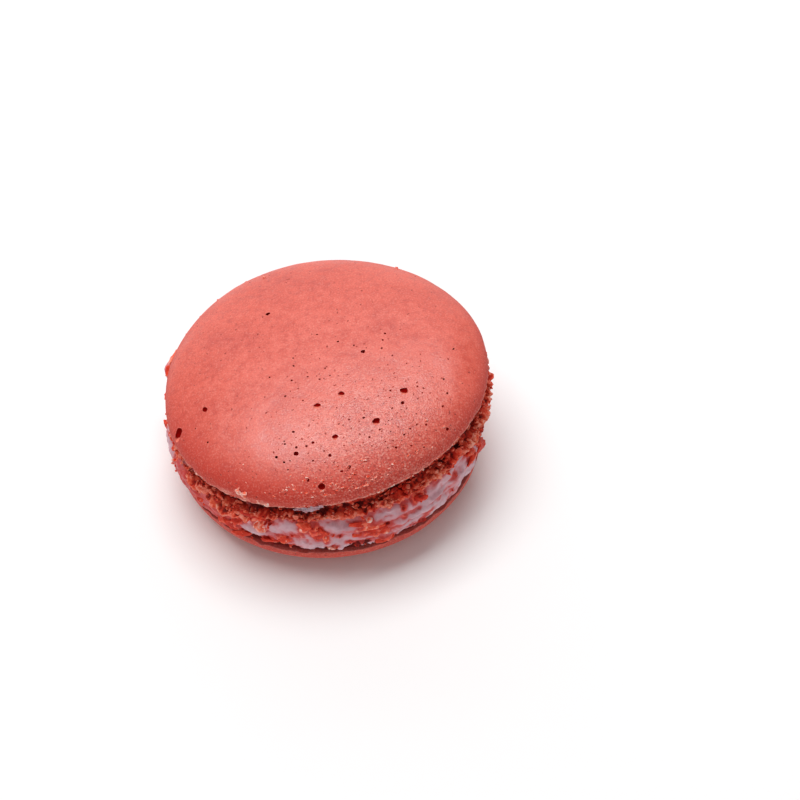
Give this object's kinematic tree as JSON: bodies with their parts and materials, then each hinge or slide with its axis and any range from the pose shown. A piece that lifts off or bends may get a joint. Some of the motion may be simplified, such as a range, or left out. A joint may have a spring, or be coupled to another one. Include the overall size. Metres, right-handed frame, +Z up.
{
  "type": "french macaron",
  "caption": "French macaron lying flat: domed meringue shell on a ragged foot, a bulging layer of cream with crumbs in it, and a second shell turned over beneath.",
  "frame": {"origin": "middle of the small flat on the underside of the lower shell, on the surface it rests on", "axes": "+Z up through both shells, +X towards the side where the upper shell stands higher, -Y the side the picture is taken from"},
  "size_m": [0.0475, 0.0459, 0.0219],
  "materials": {
    "shell_skin": "matte salmon red meringue skin with fine pores",
    "shell_foot": "matte brown red crumb, open and ragged",
    "cream": "soft satin lilac white cream",
    "shell_crumb": "matte orange red crumbs of shell"
  },
  "bodies": {
    "root": {"upper_shell": "shell_skin", "filling": "cream", "lower_shell": "shell_skin"}
  },
  "joints": []
}
